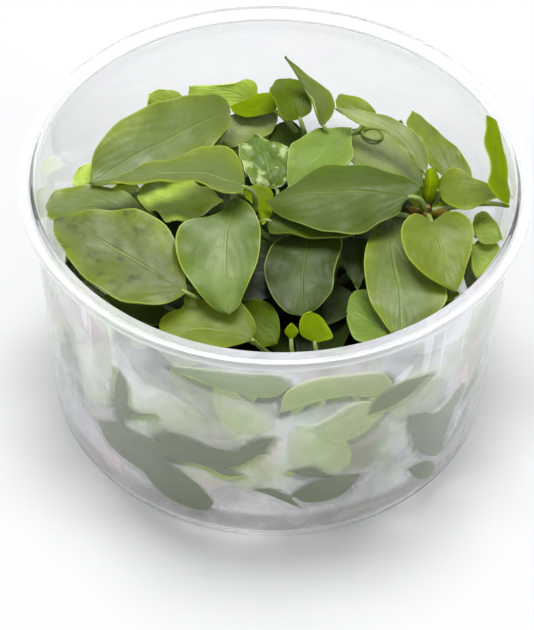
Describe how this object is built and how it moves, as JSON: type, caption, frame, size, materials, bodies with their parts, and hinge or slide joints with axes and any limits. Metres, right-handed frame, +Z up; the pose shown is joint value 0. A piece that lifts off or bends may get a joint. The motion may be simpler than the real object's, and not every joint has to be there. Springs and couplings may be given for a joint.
{
  "type": "tissue culture lagenandra",
  "caption": "Open clear round culture cup with a flanged rim, a layer of agar gel in its base, and a packed heap of broad glossy lagenandra leaves on short rhizomes.",
  "frame": {"origin": "centre of the cup's underside, in the plane it stands on", "axes": "+Z up along the cup's axis; -Y towards the side the picture is taken from; +X to that viewer's right"},
  "size_m": [0.1, 0.1, 0.059],
  "materials": {
    "clear_plastic": "clear moulded plastic, fogged on the inside",
    "agar_gel": "cloudy wet gel",
    "rhizome": "matt brown-green plant stem",
    "leaf_dark": "dark green leaf with a damp sheen",
    "leaf_grey_green": "grey-green leaf with a damp sheen",
    "leaf_light": "fresh light green leaf with a damp sheen",
    "leaf_olive": "yellow-green leaf with light through it"
  },
  "bodies": {
    "root": {"cup": "clear_plastic", "agar_gel": "agar_gel", "rhizome_back_left": "rhizome", "rhizome_back_right": "rhizome", "rhizome_middle": "rhizome", "rhizome_left": "rhizome", "rhizome_right": "rhizome", "rhizome_centre": "rhizome", "rhizome_front_left": "rhizome", "rhizome_front_right": "rhizome", "leaf_01": "leaf_dark", "leaf_02": "leaf_dark", "leaf_03": "leaf_dark", "leaf_04": "leaf_dark", "leaf_05": "leaf_grey_green", "leaf_06": "leaf_grey_green", "leaf_07": "leaf_grey_green", "leaf_08": "leaf_light", "leaf_09": "leaf_dark", "leaf_10": "leaf_grey_green", "leaf_11": "leaf_dark", "leaf_12": "leaf_dark", "leaf_13": "leaf_dark", "leaf_14": "leaf_light", "leaf_15": "leaf_light", "leaf_16": "leaf_olive", "leaf_17": "leaf_light", "leaf_18": "leaf_light", "leaf_19": "leaf_dark", "leaf_20": "leaf_grey_green", "leaf_21": "leaf_light", "leaf_22": "leaf_olive", "leaf_23": "leaf_light", "leaf_24": "leaf_light", "leaf_25": "leaf_dark", "leaf_26": "leaf_dark", "leaf_27": "leaf_dark", "leaf_28": "leaf_grey_green", "leaf_29": "leaf_light", "leaf_30": "leaf_olive", "leaf_31": "leaf_olive", "leaf_32": "leaf_grey_green", "leaf_33": "leaf_light", "leaf_34": "leaf_dark", "leaf_35": "leaf_light", "leaf_36": "leaf_grey_green", "leaf_37": "leaf_light", "leaf_38": "leaf_light", "leaf_39": "leaf_grey_green", "leaf_40": "leaf_light", "leaf_41": "leaf_olive", "leaf_42": "leaf_dark", "leaf_43": "leaf_light", "leaf_44": "leaf_grey_green", "leaf_45": "leaf_grey_green", "leaf_46": "leaf_olive", "leaf_47": "leaf_grey_green", "leaf_48": "leaf_grey_green", "leaf_49": "leaf_olive"}
  },
  "joints": []
}
